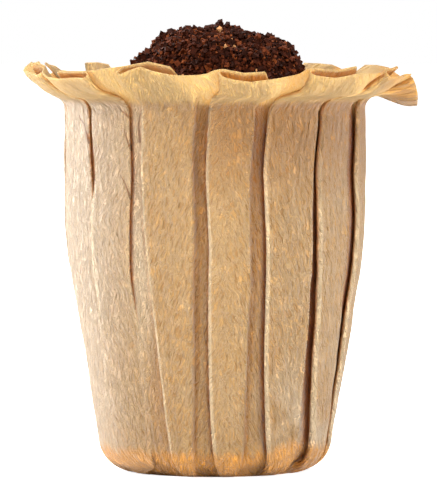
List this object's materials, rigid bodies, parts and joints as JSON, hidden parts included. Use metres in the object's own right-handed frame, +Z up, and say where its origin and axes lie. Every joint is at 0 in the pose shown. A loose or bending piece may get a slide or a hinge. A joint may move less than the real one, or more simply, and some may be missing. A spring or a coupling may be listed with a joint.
{
  "type": "paper coffee filter",
  "caption": "Deep flat-bottomed pleated paper filter cup with a flared, ruffled rim, filled with ground coffee in a mound.",
  "frame": {"origin": "centre of the flat base, on the surface that the cup stands on", "axes": "+Z up along the cup's middle line, -Y towards the front of the picture, +X to the right"},
  "size_m": [0.0658, 0.0673, 0.0749],
  "materials": {
    "filter_paper": "unbleached creped filter paper, matte, pale kraft tan",
    "ground_coffee": "dark roasted coffee, coarsely ground, loose and matte"
  },
  "bodies": {
    "root": {"paper_filter": "filter_paper", "coffee_grounds": "ground_coffee"}
  },
  "joints": []
}
